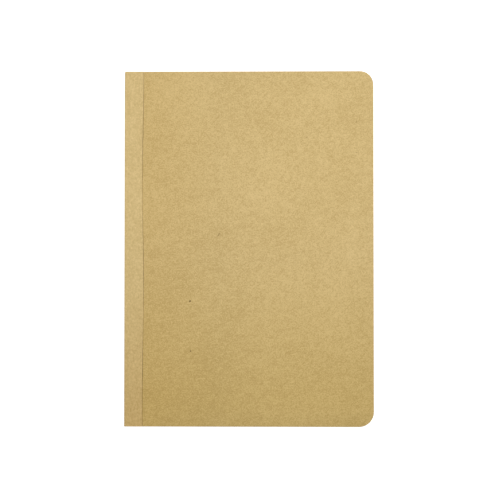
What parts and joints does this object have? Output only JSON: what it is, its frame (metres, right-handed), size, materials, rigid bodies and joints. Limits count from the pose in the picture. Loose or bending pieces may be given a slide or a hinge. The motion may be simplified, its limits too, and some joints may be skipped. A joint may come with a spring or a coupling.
{
  "type": "pocket notebook",
  "caption": "Closed pocket notebook with brown kraft board covers, a paler kraft spine tape, round fore-edge corners and sewn signatures; the covers and the middle open flat.",
  "frame": {"origin": "on the surface the book lies on, under the middle of its bounding box", "axes": "+X from the spine to the fore edge, +Y from the tail to the head, +Z from the back cover up to the front cover"},
  "size_m": [0.1038, 0.148, 0.01],
  "materials": {
    "kraft_board": "matt uncoated kraft board, fibrous, with a few dark flecks",
    "kraft_tape": "smooth matt kraft binding tape, paler than the board",
    "paper": "uncoated off-white writing paper",
    "cotton_thread": "twisted cotton thread",
    "lining_paper": "thin brown lining paper",
    "spine_glue": "dried cream adhesive, slightly glossy"
  },
  "bodies": {
    "back_half": {"signature_5": "paper", "signature_6": "paper", "signature_7": "paper", "middle_signature_back": "paper", "sewing_thread_4": "cotton_thread", "sewing_thread_5": "cotton_thread", "sewing_thread_6": "cotton_thread", "sewing_thread_7": "cotton_thread", "spine_tape_back": "kraft_tape", "spine_lining_back": "lining_paper", "spine_glue_back": "spine_glue"},
    "front_half": {"signature_1": "paper", "signature_2": "paper", "signature_3": "paper", "middle_signature_front": "paper", "sewing_thread_1": "cotton_thread", "sewing_thread_2": "cotton_thread", "sewing_thread_3": "cotton_thread", "spine_tape_front": "kraft_tape", "spine_lining_front": "lining_paper", "spine_glue_front": "spine_glue"},
    "front_cover": {"front_cover": "kraft_board", "front_tape_flap": "kraft_tape", "front_pastedown": "paper"},
    "back_cover": {"back_cover": "kraft_board", "back_tape_flap": "kraft_tape", "back_pastedown": "paper"},
    "front_flyleaf": {"front_flyleaf": "paper"},
    "back_flyleaf": {"back_flyleaf": "paper"},
    "front_centre": {"front_centre_leaf": "paper"},
    "back_centre": {"back_centre_leaf": "paper"}
  },
  "joints": [
    {"name": "middle_opening", "type": "hinge", "parent": "back_half", "child": "front_half", "pos_m": [-0.05215, 0, 0.00501], "axis": [0, -1, 0], "range_deg": [0, 180]},
    {"name": "front_cover_hinge", "type": "hinge", "parent": "front_half", "child": "front_cover", "pos_m": [-0.05215, 0, 0.01014], "axis": [0, -1, 0], "range_deg": [0, 180]},
    {"name": "back_cover_hinge", "type": "hinge", "parent": "back_half", "child": "back_cover", "pos_m": [-0.05215, 0, -0.00012], "axis": [0, 1, 0], "range_deg": [0, 180]},
    {"name": "front_flyleaf_turn", "type": "hinge", "parent": "front_half", "child": "front_flyleaf", "pos_m": [-0.05215, 0, 0.01014], "axis": [0, -1, 0], "range_deg": [0, 90]},
    {"name": "back_flyleaf_turn", "type": "hinge", "parent": "back_half", "child": "back_flyleaf", "pos_m": [-0.05215, 0, -0.00012], "axis": [0, 1, 0], "range_deg": [0, 90]},
    {"name": "front_centre_turn", "type": "hinge", "parent": "front_half", "child": "front_centre", "pos_m": [-0.05215, 0, 0.00501], "axis": [0, -1, 0], "range_deg": [-60, 0]},
    {"name": "back_centre_turn", "type": "hinge", "parent": "back_half", "child": "back_centre", "pos_m": [-0.05215, 0, 0.00501], "axis": [0, -1, 0], "range_deg": [0, 60]}
  ],
  "couplings": [
    {"joint": "front_flyleaf_turn", "follows": "front_cover_hinge", "ratio": 0.5},
    {"joint": "back_flyleaf_turn", "follows": "back_cover_hinge", "ratio": 0.5},
    {"joint": "front_centre_turn", "follows": "middle_opening", "ratio": -0.33333},
    {"joint": "back_centre_turn", "follows": "middle_opening", "ratio": 0.33333}
  ]
}
